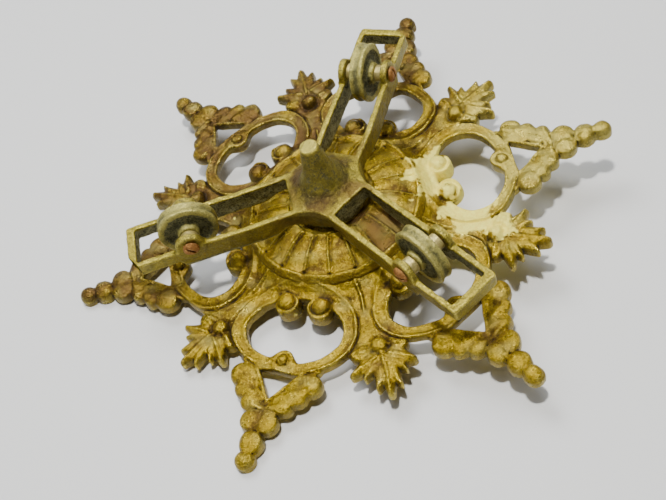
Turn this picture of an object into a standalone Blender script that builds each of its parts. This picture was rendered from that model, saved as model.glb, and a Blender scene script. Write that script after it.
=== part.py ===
"""Ceiling rosette with a three-pulley frame for a rise-and-fall hanging lamp.

The rosette lies face up: +Z is its decorative side, and the ceiling side is down.
A six-pointed openwork star is cast in one with a domed centre. A three-armed pulley
frame stands on the dome, held by an eye bolt that is screwed up into its hollow boss.
Each arm is a slot that carries one chain pulley between two bushes on a slotted screw.
The origin is the lowest point of the hanging eye, on the rosette's axis.
"""
import math

import bmesh
import bpy
from mathutils import Matrix, Vector

MM = 0.001                      # every dimension below is in millimetres

# Layout
POINT_RADIUS = 145.0            # axis to the centre of each tip ball
SECTOR_COUNT = 6
SECTOR_ANGLE = 360.0 / SECTOR_COUNT
FIRST_POINT_ANGLE = 90.0
ARM_ANGLES = (30.0, 150.0, 270.0)
SCREW_SIDES = (-1, 1, -1)       # which side of each arm the screw head is on, seen outward

# Hanging eye bolt
EYE_RADIUS = 8.5                # centre line of the ring
EYE_WIRE = 2.75
EYE_CENTRE = -6.0               # height of the ring's centre above the tip plane
SHANK_RADIUS = 3.7
SHANK_TOP = 43.5
BOLT_GAP = 0.3                  # gap between neighbouring pieces
WASHER_RADIUS = 9.5
WASHER_THICKNESS = 1.3
NUT_RADIUS = 7.2
NUT_HEIGHT = 4.0
TIP_PLANE = EYE_RADIUS + EYE_WIRE - EYE_CENTRE   # height of the tip balls above the origin

# Star casting (heights are above the tip plane)
PLATE_BACK = -3.0
PLATE_FRONT = 2.0
PLATE_HOLE_RADIUS = 50.0
BALL_CUT = -2.7                 # balls are cast flat at the back
BALL_TWIST = 7.0                # keeps a ball's facets off the corners of the outline
DOME_UNDERSIDE = 11.5
DOME_STEPS = 36
BOLT_HOLE_RADIUS = SHANK_RADIUS + BOLT_GAP

# Pulley frame
FRAME_TOP = 30.2
FRAME_BOTTOM = 17.7
ARM_HALF_WIDTH = 14.0
BAR_THICKNESS = 3.1
ARM_END = 109.7
END_BAR_THICKNESS = 4.6
SLOT_START = 19.4
BEND_RADIUS = 8.0
CORNER_CHAMFER = 0.8
OUTER_BAR_START = 82.5          # beyond the lugs the bars are shallower
OUTER_BAR_BOTTOM = 22.2
LUG_RADIUS = 7.3
LUG_PROUD = 0.3
NECK_RADIUS = 19.0
NECK_BOTTOM = 15.3

# Pulleys
AXLE_DISTANCE = 75.0
AXLE_HEIGHT = 31.5
WHEEL_RADIUS = 16.0
HUB_HALF_WIDTH = 6.0
SCREW_RADIUS = 2.5
WHEEL_BORE = 2.6
BUSH_RADIUS = 4.6
HEAD_RADIUS = 4.4
HEAD_HEIGHT = 2.6
SCREW_SLOT_WIDTH = 1.2
SCREW_SLOT_DEPTH = 1.1
SCREW_END_PROUD = 0.8           # the screw's point beyond the far lug
SCREW_HOLE_PLAY = 0.2
BUSH_CHAMFER = 0.3
WHEEL_STEPS = 24

CUT_MARGIN = 2.0                # how far cutters reach past what they cut
MERGE = 0.00001


# ---------------------------------------------------------------- scene helpers

def clear_scene():
    for item in list(bpy.data.objects):
        bpy.data.objects.remove(item, do_unlink=True)


def new_collection(name):
    group = bpy.data.collections.new(name)
    bpy.context.scene.collection.children.link(group)
    return group


def new_material(name, color, roughness, metallic=1.0):
    material = bpy.data.materials.new(name)
    material.use_nodes = True
    shader = material.node_tree.nodes["Principled BSDF"]
    shader.inputs["Base Color"].default_value = (*color, 1.0)
    shader.inputs["Roughness"].default_value = roughness
    shader.inputs["Metallic"].default_value = metallic
    return material


def new_object(name, mesh, group, material=None):
    item = bpy.data.objects.new(name, mesh)
    group.objects.link(item)
    if material:
        mesh.materials.clear()
        mesh.materials.append(material)
    mesh.shade_smooth()
    mesh.set_sharp_from_angle(angle=math.radians(35))
    return item


def as_cutter(item):
    item.hide_render = True
    item.display_type = "WIRE"
    return item


def mesh_from_bmesh(name, bm):
    mesh = bpy.data.meshes.new(name)
    bm.to_mesh(mesh)
    bm.free()
    return mesh


def add_boolean(item, other, operation):
    modifier = item.modifiers.new(f"{operation.lower()}_{other.name}", "BOOLEAN")
    modifier.operation = operation
    modifier.object = other
    modifier.solver = "EXACT"
    return modifier


# ---------------------------------------------------------------- shape helpers

def direction(angle):
    return Vector((math.cos(math.radians(angle)), math.sin(math.radians(angle))))


def arc(centre, radius, start, end, steps):
    """Points on an arc, angles in degrees, both ends included."""
    turn = (end - start) / steps
    return [Vector(centre) + radius * direction(start + turn * i) for i in range(steps + 1)]


def rotate_points(points, angle):
    turn = Matrix.Rotation(math.radians(angle), 2)
    return [turn @ Vector(point) for point in points]


def outline_mesh(name, loops, low, high):
    """A flat plate between two heights; the first loop is its edge, the others are holes."""
    curve = bpy.data.curves.new(name, "CURVE")
    curve.dimensions = "2D"
    curve.fill_mode = "BOTH"
    curve.extrude = (high - low) / 2 * MM
    for loop in loops:
        spline = curve.splines.new("POLY")
        spline.points.add(len(loop) - 1)
        for point, place in zip(spline.points, loop):
            point.co = (place[0] * MM, place[1] * MM, 0, 1)
        spline.use_cyclic_u = True
    item = bpy.data.objects.new(name, curve)
    bpy.context.scene.collection.objects.link(item)
    bpy.context.view_layer.update()
    mesh = bpy.data.meshes.new_from_object(item.evaluated_get(bpy.context.evaluated_depsgraph_get()))
    bpy.data.objects.remove(item)
    bpy.data.curves.remove(curve)
    bm = bmesh.new()
    bm.from_mesh(mesh)
    bmesh.ops.remove_doubles(bm, verts=bm.verts, dist=MERGE)
    bmesh.ops.translate(bm, verts=bm.verts, vec=(0, 0, (high + low) / 2 * MM))
    bmesh.ops.recalc_face_normals(bm, faces=bm.faces)
    bm.to_mesh(mesh)
    bm.free()
    return mesh


def turned_object(name, profile, steps, group, material=None):
    """A closed profile of (radius, height) points turned about its local Z axis."""
    bm = bmesh.new()
    verts = [bm.verts.new((radius * MM, 0, height * MM)) for radius, height in profile]
    for first, second in zip(verts, verts[1:] + verts[:1]):
        if first.co.x > 0 or second.co.x > 0:
            bm.edges.new((first, second))
    item = new_object(name, mesh_from_bmesh(name, bm), group, material)
    screw = item.modifiers.new("turn", "SCREW")
    screw.steps = steps
    screw.render_steps = steps
    screw.use_merge_vertices = True
    screw.merge_threshold = MERGE
    screw.use_smooth_shade = True
    return item


def cylinder_bmesh(radius, low, high, segments):
    bm = bmesh.new()
    bmesh.ops.create_cone(bm, cap_ends=True, segments=segments, radius1=radius * MM,
                          radius2=radius * MM, depth=(high - low) * MM)
    bmesh.ops.translate(bm, verts=bm.verts, vec=(0, 0, (high + low) / 2 * MM))
    return bm


def axle_frame(angle, side):
    """Local Z runs along the axle of the arm at this angle, towards its given side."""
    across = Vector((*direction(angle + 90 * side), 0))
    up = Vector((0, 0, 1))
    turn = Matrix((up.cross(across), up, across)).transposed()
    centre = Vector((*(AXLE_DISTANCE * direction(angle)), AXLE_HEIGHT + TIP_PLANE)) * MM
    return Matrix.Translation(centre) @ turn.to_4x4()


# ---------------------------------------------------------------- star casting

def leaf_edge():
    """Right half of one leaf from its base to its tip, as (distance, offset) in radii."""
    return ((0.600, 0.083), (0.632, 0.108), (0.644, 0.078), (0.674, 0.128), (0.700, 0.118),
            (0.704, 0.068), (0.745, 0.085), (0.770, 0.075), (0.757, 0.030), (0.785, 0.018),
            (0.805, 0.000))


def half_sector_edge():
    """Outline of half a sector on its +X side, point up, from the tip to the leaf's tip."""
    lobes = ((0.0, 1.0, 0.030, 90, -30), (0.0, 0.939, 0.037, 30, -40), (0.026, 0.862, 0.042, 60, -55),
             (0.066, 0.792, 0.034, 50, -30), (0.100, 0.745, 0.036, 45, -30),
             (0.126, 0.695, 0.042, 40, -80))
    edge = []
    for x, y, radius, start, end in lobes:
        edge += arc((x, y), radius, start, end, 4)
    edge += [Vector((0.235 * math.cos(math.radians(a)), 0.505 + 0.165 * math.sin(math.radians(a))))
             for a in (50, 37, 24)]
    along = Vector((math.sin(math.radians(30)), math.cos(math.radians(30))))
    across = Vector((-along.y, along.x))
    edge += [along * u + across * v for u, v in leaf_edge()]
    return edge


def mirrored(points):
    return [Vector((-point.x, point.y)) for point in reversed(points)]


def star_edge():
    right = half_sector_edge()
    sector = mirrored(right[:-1])[:-1] + right
    edge = []
    for i in range(SECTOR_COUNT):
        edge += rotate_points(sector, -SECTOR_ANGLE * i)
    return [point * POINT_RADIUS for point in edge]


def loop_hole():
    """Kidney-shaped opening of one sector, with the ball pair and the knob left standing."""
    right = arc((0.0, 0.622), 0.040, -90, -20, 3)
    right += [Vector(p) for p in ((0.085, 0.622), (0.125, 0.609), (0.160, 0.577), (0.180, 0.530),
                                  (0.180, 0.485), (0.165, 0.445), (0.138, 0.412))]
    right += arc((0.060, 0.410), 0.041, -8, 157, 5)
    return [point * POINT_RADIUS for point in right + mirrored(right[1:])]


def triangle_hole():
    return [Vector(p) * POINT_RADIUS for p in ((-0.072, 0.672), (0.072, 0.672), (0.0, 0.772))]


def star_loops():
    loops = [star_edge()]
    for i in range(SECTOR_COUNT):
        turn = FIRST_POINT_ANGLE - 90 - SECTOR_ANGLE * i
        loops.append(rotate_points(loop_hole(), turn))
        loops.append(rotate_points(triangle_hole(), turn))
    loops.append(arc((0, 0), PLATE_HOLE_RADIUS, 0, 350, 35))
    return loops


def ball_object(name, balls, group):
    """Cast balls of one kind on every point, flat at the back: (x, y, z, radius) in radii."""
    bm = bmesh.new()
    twist = Matrix.Rotation(math.radians(BALL_TWIST), 4, "Z")
    for i in range(SECTOR_COUNT):
        turn = Matrix.Rotation(math.radians(-SECTOR_ANGLE * i), 4, "Z")
        for x, y, z, radius in balls:
            place = turn @ Matrix.Translation(Vector((x, y, z)) * POINT_RADIUS * MM) @ twist
            bmesh.ops.create_uvsphere(bm, u_segments=12, v_segments=6, matrix=place,
                                      radius=radius * POINT_RADIUS * MM)
    geometry = list(bm.verts) + list(bm.edges) + list(bm.faces)
    cut = bmesh.ops.bisect_plane(bm, geom=geometry, dist=MERGE, plane_co=(0, 0, BALL_CUT * MM),
                                 plane_no=(0, 0, -1), clear_outer=True)
    rim = [part for part in cut["geom_cut"] if isinstance(part, bmesh.types.BMEdge)]
    bmesh.ops.holes_fill(bm, edges=rim)
    bmesh.ops.recalc_face_normals(bm, faces=bm.faces)
    return as_cutter(new_object(name, mesh_from_bmesh(name, bm), group))


def dome_profile():
    """Outside from the bolt hole down to the skirt, then back along the hollow inside."""
    outside = [(BOLT_HOLE_RADIUS, 15.0), (20.2, 15.0), (21.0, 15.9), (22.5, 16.1), (28.0, 15.9),
               (34.0, 15.0), (39.0, 13.3), (42.5, 11.0), (44.2, 9.2), (44.9, 10.3), (46.0, 11.0),
               (47.1, 10.3), (48.2, 8.6), (52.0, 5.6), (56.5, 3.4)]
    inside = [(56.5, -2.2), (47.0, -1.0), (43.0, 5.0), (38.0, 8.9), (30.0, 11.0),
              (20.0, DOME_UNDERSIDE), (BOLT_HOLE_RADIUS, DOME_UNDERSIDE)]
    return outside + inside


def build_star(parts, cutters, material):
    star = new_object("star_rosette", outline_mesh("star", star_loops(), PLATE_BACK, PLATE_FRONT),
                      parts, material)
    dome = as_cutter(turned_object("dome_shell", dome_profile(), DOME_STEPS, cutters))
    tips = ball_object("tip_balls", ((0, 1.0, 0, 0.037), (0.060, 0.410, 0.012, 0.048),
                                     (-0.060, 0.410, 0.012, 0.048)), cutters)
    beads = ball_object("second_beads", ((0, 0.939, 0.004, 0.044),), cutters)
    for other in (dome, tips, beads):
        add_boolean(star, other, "UNION")
    for item in (star, dome, tips, beads):
        item.location.z = TIP_PLANE * MM
    return star


# ---------------------------------------------------------------- pulley frame

def frame_edge():
    """Outer contour: out along one wall of an arm, over its end, back, and round the bend."""
    edge = []
    for angle in ARM_ANGLES:
        along, across = direction(angle), direction(angle + 90)
        corner = ARM_HALF_WIDTH - CORNER_CHAMFER
        edge += [along * (ARM_END - CORNER_CHAMFER) - across * ARM_HALF_WIDTH,
                 along * ARM_END - across * corner,
                 along * ARM_END + across * corner,
                 along * (ARM_END - CORNER_CHAMFER) + across * ARM_HALF_WIDTH]
        centre = (ARM_HALF_WIDTH + BEND_RADIUS) / math.sin(math.radians(60)) * direction(angle + 60)
        edge += arc(centre, BEND_RADIUS, angle + 270, angle + 210, 6)
    return edge


def slot_hole(angle):
    along, across = direction(angle), direction(angle + 90)
    half = ARM_HALF_WIDTH - BAR_THICKNESS
    end = ARM_END - END_BAR_THICKNESS
    return [along * SLOT_START - across * half, along * end - across * half,
            along * end + across * half, along * SLOT_START + across * half]


def hub_profile():
    """Conical boss, its flare, the round neck below, and the blind bore for the eye bolt."""
    return [(0, 59.5), (4.3, 59.5), (4.9, 59.0), (5.9, 53.0), (6.9, 47.0), (8.3, 42.0),
            (10.4, 37.5), (12.8, 33.4), (15.0, 31.0), (15.4, 29.0), (15.4, 18.3),
            (NECK_RADIUS, 18.3), (NECK_RADIUS, NECK_BOTTOM), (BOLT_HOLE_RADIUS, NECK_BOTTOM),
            (BOLT_HOLE_RADIUS, SHANK_TOP + 0.5), (0, SHANK_TOP + 2.0)]


def axle_cylinders(name, radius, spans, segments, group):
    """One cutter holding cylinders on all three axles: spans are (side, low, high)."""
    bm = bmesh.new()
    for angle in ARM_ANGLES:
        for side, low, high in spans:
            part = cylinder_bmesh(radius, low, high, segments)
            part.transform(axle_frame(angle, side))
            mesh = mesh_from_bmesh(name, part)
            bm.from_mesh(mesh)
            bpy.data.meshes.remove(mesh)
    return as_cutter(new_object(name, mesh_from_bmesh(name, bm), group))


def lug_object(group):
    """The six round ears at the pulley axles."""
    low = ARM_HALF_WIDTH - BAR_THICKNESS - LUG_PROUD
    high = ARM_HALF_WIDTH + LUG_PROUD
    return axle_cylinders("lugs", LUG_RADIUS, ((-1, low, high), (1, low, high)), 24, group)


def lug_hole_object(group):
    reach = ARM_HALF_WIDTH + CUT_MARGIN
    return axle_cylinders("lug_holes", SCREW_RADIUS + SCREW_HOLE_PLAY, ((1, -reach, reach),), 16, group)


def underside_object(group):
    """Blocks that thin the outer end of each arm from below."""
    bm = bmesh.new()
    length = ARM_END - OUTER_BAR_START + 2 * CUT_MARGIN
    width = 2 * (ARM_HALF_WIDTH + 3 * CUT_MARGIN)
    depth = OUTER_BAR_BOTTOM - FRAME_BOTTOM + CUT_MARGIN
    for angle in ARM_ANGLES:
        centre = (OUTER_BAR_START + length / 2) * direction(angle)
        height = TIP_PLANE + OUTER_BAR_BOTTOM - depth / 2
        place = (Matrix.Translation(Vector((*centre, height)) * MM)
                 @ Matrix.Rotation(math.radians(angle), 4, "Z")
                 @ Matrix.Diagonal((length * MM, width * MM, depth * MM, 1)))
        bmesh.ops.create_cube(bm, size=1, matrix=place)
    return as_cutter(new_object("arm_undersides", mesh_from_bmesh("arm_undersides", bm), group))


def build_frame(parts, cutters, material):
    loops = [frame_edge()] + [slot_hole(angle) for angle in ARM_ANGLES]
    mesh = outline_mesh("frame", loops, TIP_PLANE + FRAME_BOTTOM, TIP_PLANE + FRAME_TOP)
    frame = new_object("pulley_frame", mesh, parts, material)
    hub = as_cutter(turned_object("hub_core", hub_profile(), 28, cutters))
    hub.location.z = TIP_PLANE * MM
    bore = as_cutter(new_object("bolt_bore", mesh_from_bmesh("bolt_bore", cylinder_bmesh(
        BOLT_HOLE_RADIUS, NECK_BOTTOM + 1, SHANK_TOP, 28)), cutters))
    bore.location.z = TIP_PLANE * MM
    add_boolean(frame, underside_object(cutters), "DIFFERENCE")
    add_boolean(frame, bore, "DIFFERENCE")
    add_boolean(frame, hub, "UNION")
    add_boolean(frame, lug_object(cutters), "UNION")
    add_boolean(frame, lug_hole_object(cutters), "DIFFERENCE")
    return frame


# ---------------------------------------------------------------- pulleys

def wheel_profile():
    """Stepped hub, thin web and a grooved rim, symmetric about the middle plane."""
    side = [(WHEEL_BORE, HUB_HALF_WIDTH), (5.0, HUB_HALF_WIDTH), (5.6, 5.4), (5.9, 2.2),
            (10.8, 1.7), (11.6, 3.3), (12.4, 3.6), (15.5, 3.6), (WHEEL_RADIUS, 3.1),
            (14.6, 1.7), (13.6, 0.8)]
    return side + [(radius, -height) for radius, height in reversed(side)]


def bush_profile(low, high):
    inner = SCREW_RADIUS + BOLT_GAP
    shoulder = BUSH_RADIUS - BUSH_CHAMFER
    return [(inner, high), (shoulder, high), (BUSH_RADIUS, high - BUSH_CHAMFER),
            (BUSH_RADIUS, low + BUSH_CHAMFER), (shoulder, low), (inner, low)]


def screw_profile():
    """Domed head on its seat, shank, and a chamfered point beyond the far lug."""
    seat = ARM_HALF_WIDTH + LUG_PROUD + BOLT_GAP
    tip = -(ARM_HALF_WIDTH + LUG_PROUD + SCREW_END_PROUD)
    return [(0, seat + HEAD_HEIGHT), (2.4, seat + HEAD_HEIGHT - 0.2), (3.8, seat + HEAD_HEIGHT - 0.9),
            (HEAD_RADIUS, seat + 1.1), (HEAD_RADIUS, seat), (SCREW_RADIUS, seat),
            (SCREW_RADIUS, tip + 0.6), (SCREW_RADIUS - 0.6, tip), (0, tip)]


def screw_slot_object(place, name, group):
    bm = bmesh.new()
    top = ARM_HALF_WIDTH + LUG_PROUD + BOLT_GAP + HEAD_HEIGHT
    length = 2 * (HEAD_RADIUS + CUT_MARGIN)
    size = Matrix.Diagonal((length * MM, SCREW_SLOT_WIDTH * MM, 2 * SCREW_SLOT_DEPTH * MM, 1))
    bmesh.ops.create_cube(bm, size=1, matrix=Matrix.Translation((0, 0, top * MM)) @ size)
    slot = as_cutter(new_object(name, mesh_from_bmesh(name, bm), group))
    slot.matrix_world = place
    return slot


def build_pulley(number, angle, side, parts, cutters, materials):
    place = axle_frame(angle, side)
    wheel = turned_object(f"pulley_{number}", wheel_profile(), WHEEL_STEPS, parts, materials["pulley"])
    wheel.matrix_world = place
    near = HUB_HALF_WIDTH + BOLT_GAP
    far = ARM_HALF_WIDTH - BAR_THICKNESS - LUG_PROUD - BOLT_GAP
    for end, low, high in (("a", near, far), ("b", -far, -near)):
        bush = turned_object(f"bush_{number}{end}", bush_profile(low, high), 16, parts,
                             materials["bush"])
        bush.matrix_world = place
    screw = turned_object(f"pulley_screw_{number}", screw_profile(), 16, parts, materials["screw"])
    screw.matrix_world = place
    add_boolean(screw, screw_slot_object(place, f"screw_slot_{number}", cutters), "DIFFERENCE")


# ---------------------------------------------------------------- hanging eye

def build_eye(parts, cutters, materials):
    bpy.ops.mesh.primitive_torus_add(major_radius=EYE_RADIUS * MM, minor_radius=EYE_WIRE * MM,
                                     major_segments=24, minor_segments=10,
                                     location=(0, 0, (TIP_PLANE + EYE_CENTRE) * MM),
                                     rotation=(math.radians(90), 0, 0))
    eye = bpy.context.active_object
    for group in list(eye.users_collection):
        group.objects.unlink(eye)
    parts.objects.link(eye)
    eye.name = "eye_bolt"
    eye.data.materials.append(materials["bolt"])
    eye.data.shade_smooth()
    low = EYE_CENTRE + EYE_RADIUS
    shank = as_cutter(new_object("eye_shank", mesh_from_bmesh("eye_shank", cylinder_bmesh(
        SHANK_RADIUS, low, SHANK_TOP, 20)), cutters))
    shank.location.z = TIP_PLANE * MM
    add_boolean(eye, shank, "UNION")

    washer_top = DOME_UNDERSIDE - BOLT_GAP
    washer_low = washer_top - WASHER_THICKNESS
    washer = turned_object("eye_washer", [(BOLT_HOLE_RADIUS, washer_top), (WASHER_RADIUS, washer_top),
                                          (WASHER_RADIUS, washer_low), (BOLT_HOLE_RADIUS, washer_low)],
                           24, parts, materials["bolt"])
    washer.location.z = TIP_PLANE * MM
    nut_top = washer_low - BOLT_GAP
    nut_low = nut_top - NUT_HEIGHT
    nut = new_object("eye_nut", mesh_from_bmesh("eye_nut", cylinder_bmesh(
        NUT_RADIUS, nut_low, nut_top, 6)), parts, materials["bolt"])
    nut.location.z = TIP_PLANE * MM
    hole = as_cutter(new_object("nut_hole", mesh_from_bmesh("nut_hole", cylinder_bmesh(
        BOLT_HOLE_RADIUS, nut_low - CUT_MARGIN, nut_top + CUT_MARGIN, 20)), cutters))
    hole.location.z = TIP_PLANE * MM
    add_boolean(nut, hole, "DIFFERENCE")


def main():
    clear_scene()
    parts = new_collection("ceiling_rosette")
    cutters = new_collection("cutters")
    materials = {
        "star": new_material("star_brass", (0.42, 0.29, 0.08), 0.42),
        "frame": new_material("frame_brass", (0.36, 0.32, 0.14), 0.5),
        "pulley": new_material("pulley_brass", (0.38, 0.36, 0.19), 0.5),
        "bush": new_material("bush_brass", (0.62, 0.52, 0.26), 0.4),
        "screw": new_material("screw_copper", (0.48, 0.24, 0.12), 0.55),
        "bolt": new_material("bolt_iron", (0.18, 0.14, 0.11), 0.65),
    }
    build_star(parts, cutters, materials["star"])
    build_frame(parts, cutters, materials["frame"])
    for number, (angle, side) in enumerate(zip(ARM_ANGLES, SCREW_SIDES), start=1):
        build_pulley(number, angle, side, parts, cutters, materials)
    build_eye(parts, cutters, materials)


main()
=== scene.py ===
"""Ceiling rosette with a three-pulley frame: visual model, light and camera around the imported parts.

Every cast piece is a sampled solid field turned into a mesh. Lengths inside the fields are in
millimetres; heights are above the plane of the tip balls, which is TIP_PLANE above the origin.
"""
import math
from types import SimpleNamespace

import bpy
import numpy as np
from mathutils import Matrix, Vector


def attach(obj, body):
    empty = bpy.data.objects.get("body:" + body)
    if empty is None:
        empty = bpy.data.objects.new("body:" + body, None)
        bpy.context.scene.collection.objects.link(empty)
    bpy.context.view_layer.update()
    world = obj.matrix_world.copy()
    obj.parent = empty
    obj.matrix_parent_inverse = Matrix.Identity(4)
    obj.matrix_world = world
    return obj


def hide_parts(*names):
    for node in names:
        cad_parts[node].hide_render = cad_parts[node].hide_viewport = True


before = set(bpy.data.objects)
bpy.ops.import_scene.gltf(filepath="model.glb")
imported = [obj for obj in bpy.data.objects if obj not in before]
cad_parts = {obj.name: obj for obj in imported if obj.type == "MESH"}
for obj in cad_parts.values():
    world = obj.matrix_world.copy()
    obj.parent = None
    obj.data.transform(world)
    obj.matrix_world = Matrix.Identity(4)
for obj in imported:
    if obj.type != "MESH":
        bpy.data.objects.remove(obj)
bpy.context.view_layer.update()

MM = 0.001
POINT_RADIUS = 145.0                 # centre to a tip ball
TIP_PLANE = 17.25                    # tip balls above the lowest point of the eye
SECTOR = math.radians(60)
ARM_ANGLES = (30.0, 150.0, 270.0)
SCREW_SIDES = (-1, 1, -1)            # which side of each arm its screw's head is on

# Sample spacing of each piece's field.
STAR_STEP = 0.55
DOME_STEP = 0.42
FRAME_STEP = 0.5
TURNED_STEP = 0.28
EYE_STEP = 0.3
SMALL_STEP = 0.2
TRIANGLE_LIMIT = 190000


# ---------------------------------------------------------------- fields and meshes

def smooth_min(a, b, blend):
    share = np.clip(0.5 + 0.5 * (b - a) / blend, 0, 1)
    return b + (a - b) * share - blend * share * (1 - share)


def smooth_max(a, b, blend):
    return -smooth_min(-a, -b, blend)


def circle(x, y, centre, radius):
    return np.hypot(x - centre[0], y - centre[1]) - radius


def capsule(x, y, start, end, radius_start, radius_end):
    """Distance to a line with a radius that changes from one end to the other."""
    dx, dy = end[0] - start[0], end[1] - start[1]
    along = np.clip(((x - start[0]) * dx + (y - start[1]) * dy) / (dx * dx + dy * dy), 0, 1)
    reach = radius_start + (radius_end - radius_start) * along
    return np.hypot(x - start[0] - dx * along, y - start[1] - dy * along) - reach


def ellipse(x, y, centre, width, height):
    """Distance to an ellipse, exact at its edge."""
    u, v = (x - centre[0]) / width, (y - centre[1]) / height
    value = np.sqrt(u * u + v * v) + 1e-9
    slope = np.sqrt((u / width) ** 2 + (v / height) ** 2) / value + 1e-9
    return (value - 1) / slope


def cap(distance, radius, height):
    """Height of a rounded boss over a distance from its centre."""
    return height * np.sqrt(np.clip(1 - (distance / radius) ** 2, 0, 1))


def ridge(distance, centre, width, height):
    return height * np.exp(-((distance - centre) / width) ** 2)


def ramp(value, start, end):
    share = np.clip((value - start) / (end - start), 0, 1)
    return share * share * (3 - 2 * share)


WAVE_COUNT = 9


def waves(seed, size, *places):
    """Smooth irregular numbers from about -1 to 1 that change over the given size."""
    random = np.random.default_rng(seed)
    total = 0
    for _ in range(WAVE_COUNT):
        aim = random.normal(size=3)
        aim *= 2 * math.pi / (size * random.uniform(0.7, 1.6)) / np.linalg.norm(aim)
        phase = random.uniform(0, 2 * math.pi)
        total = total + np.sin(sum(k * p for k, p in zip(aim, places)) + phase)
    return total / 3


def box_blur(values, reach):
    """Mean over a cube of the sampled values, by running sums."""
    for axis in range(3):
        padded = np.concatenate([np.repeat(values.take([0], axis), reach + 1, axis), values,
                                 np.repeat(values.take([-1], axis), reach, axis)], axis)
        sums = np.cumsum(padded, axis, dtype=np.float32)
        size = 2 * reach + 1
        high = np.take(sums, range(size, sums.shape[axis]), axis)
        low = np.take(sums, range(0, sums.shape[axis] - size), axis)
        values = (high - low) / size
    return values


def surface_net(field):
    """Points, in samples, and quads of the surface where a sampled field changes sign."""
    inside = field < 0
    shape = tuple(n - 1 for n in field.shape)
    count = np.zeros(shape, np.uint8)
    for i in (0, 1):
        for j in (0, 1):
            for k in (0, 1):
                count += inside[i:shape[0] + i, j:shape[1] + j, k:shape[2] + k]
    active = (count > 0) & (count < 8)
    cells = np.argwhere(active)
    index = np.full(shape, -1, np.int32)
    index[active] = np.arange(len(cells))
    total = np.zeros((len(cells), 3))
    hits = np.zeros(len(cells))
    for axis in range(3):
        for i in (0, 1):
            for j in (0, 1):
                offset = np.insert([i, j], axis, 0)
                step = np.eye(3, dtype=int)[axis]
                a = field[tuple((cells + offset).T)]
                b = field[tuple((cells + offset + step).T)]
                cross = (a < 0) != (b < 0)
                share = a[cross] / (a[cross] - b[cross])
                total[cross] += offset + share[:, None] * step
                hits[cross] += 1
    points = cells + total / hits[:, None]
    quads = []
    for axis in range(3):
        second, third = (axis + 1) % 3, (axis + 2) % 3
        turned = np.moveaxis(inside, (axis, second, third), (0, 1, 2))
        lattice = np.moveaxis(index, (axis, second, third), (0, 1, 2))
        here, there = turned[:-1, 1:-1, 1:-1], turned[1:, 1:-1, 1:-1]
        edge = np.argwhere(here != there)
        outward = here[tuple(edge.T)]
        i, j, k = edge.T
        quad = np.stack([lattice[i, j, k], lattice[i, j + 1, k],
                         lattice[i, j + 1, k + 1], lattice[i, j, k + 1]], 1)
        quad[~outward] = quad[~outward][:, ::-1]
        quads.append(quad)
    return points, np.concatenate(quads)


def mesh_from_arrays(name, points, quads):
    mesh = bpy.data.meshes.new(name)
    mesh.vertices.add(len(points))
    mesh.vertices.foreach_set("co", points.astype(np.float32).ravel())
    mesh.loops.add(quads.size)
    mesh.loops.foreach_set("vertex_index", quads.astype(np.int32).ravel())
    mesh.polygons.add(len(quads))
    mesh.polygons.foreach_set("loop_start", np.arange(0, quads.size, 4, dtype=np.int32))
    mesh.update(calc_edges=True)
    mesh.validate()
    return mesh


def new_piece(name, mesh, body, nodes):
    item = bpy.data.objects.new(name, mesh)
    bpy.context.scene.collection.objects.link(item)
    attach(item, body)
    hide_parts(*nodes)
    return item


def sample(values, places):
    """Values between the samples, by trilinear interpolation."""
    top = np.array(values.shape) - 1.001
    places = np.clip(places, 0, top)
    low = places.astype(int)
    part = places - low
    total = 0
    for i in (0, 1):
        for j in (0, 1):
            for k in (0, 1):
                weight = (np.abs(1 - i - part[:, 0]) * np.abs(1 - j - part[:, 1])
                          * np.abs(1 - k - part[:, 2]))
                total = total + weight * values[low[:, 0] + i, low[:, 1] + j, low[:, 2] + k]
    return total


def thinned(mesh, ratio):
    """The mesh with only this share of its triangles."""
    item = bpy.data.objects.new(mesh.name, mesh)
    bpy.context.scene.collection.objects.link(item)
    thin = item.modifiers.new("thin", "DECIMATE")
    thin.ratio = ratio
    graph = bpy.context.evaluated_depsgraph_get()
    result = bpy.data.meshes.new_from_object(item.evaluated_get(graph))
    name = mesh.name
    bpy.data.objects.remove(item)
    bpy.data.meshes.remove(mesh)
    result.name = name
    return result


def cast_mesh(name, field_of, low, high, step, place=None, fine=1.3, broad=5.0, marks=()):
    """A mesh of the field between two corners, with its edges, hollows and marks as attributes."""
    axes = [np.arange(a, b + step, step, dtype=np.float32) for a, b in zip(low, high)]
    x, y, z = (axes[0][:, None, None], axes[1][None, :, None], axes[2][None, None, :])
    field = np.broadcast_to(field_of(x, y, z), tuple(len(a) for a in axes)).astype(np.float32)
    points, quads = surface_net(field)
    solid = (field < 0).astype(np.float32)
    near = box_blur(solid, max(1, round(fine / step)))
    far = box_blur(solid, max(1, round(broad / step)))
    mesh = mesh_from_arrays(name, points, quads)
    if 2 * len(quads) > TRIANGLE_LIMIT:
        mesh = thinned(mesh, TRIANGLE_LIMIT / (2 * len(quads)))
    places = np.zeros(len(mesh.vertices) * 3, np.float32)
    mesh.vertices.foreach_get("co", places)
    places = places.reshape(-1, 3)
    for label, values in (("edge", near), ("hollow", far)):
        attribute = mesh.attributes.new(label, "FLOAT", "POINT")
        attribute.data.foreach_set("value", sample(values, places).astype(np.float32))
    places = places * step + np.array(low)
    for label, mark_of in marks:
        attribute = mesh.attributes.new(label, "FLOAT", "POINT")
        attribute.data.foreach_set("value", mark_of(*places.T).astype(np.float32))
    mesh.vertices.foreach_set("co", (places * MM).astype(np.float32).ravel())
    if place:
        mesh.transform(place)
    mesh.update()
    mesh.shade_smooth()
    return mesh


# ---------------------------------------------------------------- star

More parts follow.
